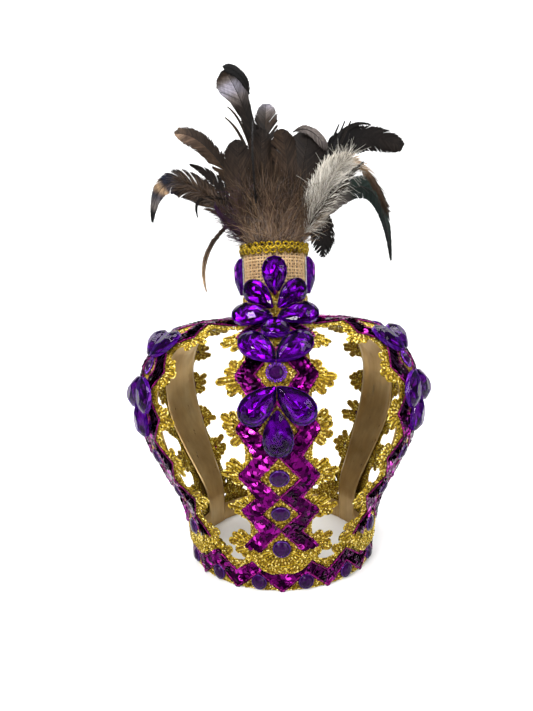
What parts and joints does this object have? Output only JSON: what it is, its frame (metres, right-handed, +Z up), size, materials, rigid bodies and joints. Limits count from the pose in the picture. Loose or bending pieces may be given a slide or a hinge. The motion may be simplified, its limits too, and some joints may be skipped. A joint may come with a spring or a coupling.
{
  "type": "parade crown",
  "caption": "Open metal crown of bowed strips on a ring, covered in gold lace, purple sequins and teardrop stones, with a burlap cup and feather plume on top.",
  "frame": {"origin": "on the floor at the centre of the ring", "axes": "+Z up along the crown's axis, the front with the flower of stones towards -Y, +X to the viewer's right"},
  "size_m": [0.2892, 0.3064, 0.4859],
  "materials": {
    "strip_metal": "satin khaki gold paint",
    "gold_lace": "metallic gold thread lace",
    "purple_sequins": "shiny magenta-purple sequins",
    "purple_stone": "clear violet faceted acrylic with a foil back",
    "burlap": "open plain-weave burlap",
    "gold_braid": "looped metallic gold braid",
    "feathers": "brown, black and cream feathers"
  },
  "bodies": {
    "root": {"band_lace": "gold_lace", "band_sequins": "purple_sequins", "cup": "burlap", "cup_braid": "gold_braid", "frame": "strip_metal", "lace_back": "gold_lace", "lace_back_left": "gold_lace", "lace_back_right": "gold_lace", "lace_front": "gold_lace", "lace_front_left": "gold_lace", "lace_front_right": "gold_lace", "plume": "feathers", "sequins_back": "purple_sequins", "sequins_back_left": "purple_sequins", "sequins_back_right": "purple_sequins", "sequins_front": "purple_sequins", "sequins_front_left": "purple_sequins", "sequins_front_right": "purple_sequins", "stone_back_left_lower": "purple_stone", "stone_back_left_middle_left": "purple_stone", "stone_back_left_middle_right": "purple_stone", "stone_back_left_upper_left": "purple_stone", "stone_back_left_upper_right": "purple_stone", "stone_back_lower": "purple_stone", "stone_back_middle_left": "purple_stone", "stone_back_middle_right": "purple_stone", "stone_back_right_lower": "purple_stone", "stone_back_right_middle_left": "purple_stone", "stone_back_right_middle_right": "purple_stone", "stone_back_right_upper_left": "purple_stone", "stone_back_right_upper_right": "purple_stone", "stone_back_upper_left": "purple_stone", "stone_back_upper_right": "purple_stone", "stone_cup_back": "purple_stone", "stone_cup_back_upper_left": "purple_stone", "stone_cup_back_upper_right": "purple_stone", "stone_cup_front": "purple_stone", "stone_cup_front_lower_left": "purple_stone", "stone_cup_front_lower_right": "purple_stone", "stone_cup_front_lying": "purple_stone", "stone_cup_front_upper_left": "purple_stone", "stone_cup_front_upper_right": "purple_stone", "stone_cup_left": "purple_stone", "stone_cup_right": "purple_stone", "stone_front_left_lower": "purple_stone", "stone_front_left_middle_left": "purple_stone", "stone_front_left_middle_right": "purple_stone", "stone_front_left_upper_left": "purple_stone", "stone_front_left_upper_right": "purple_stone", "stone_front_lower": "purple_stone", "stone_front_middle_left": "purple_stone", "stone_front_middle_right": "purple_stone", "stone_front_right_lower": "purple_stone", "stone_front_right_middle_left": "purple_stone", "stone_front_right_middle_right": "purple_stone", "stone_front_right_upper_left": "purple_stone", "stone_front_right_upper_right": "purple_stone", "stone_front_upper_left": "purple_stone", "stone_front_upper_right": "purple_stone"}
  },
  "joints": []
}
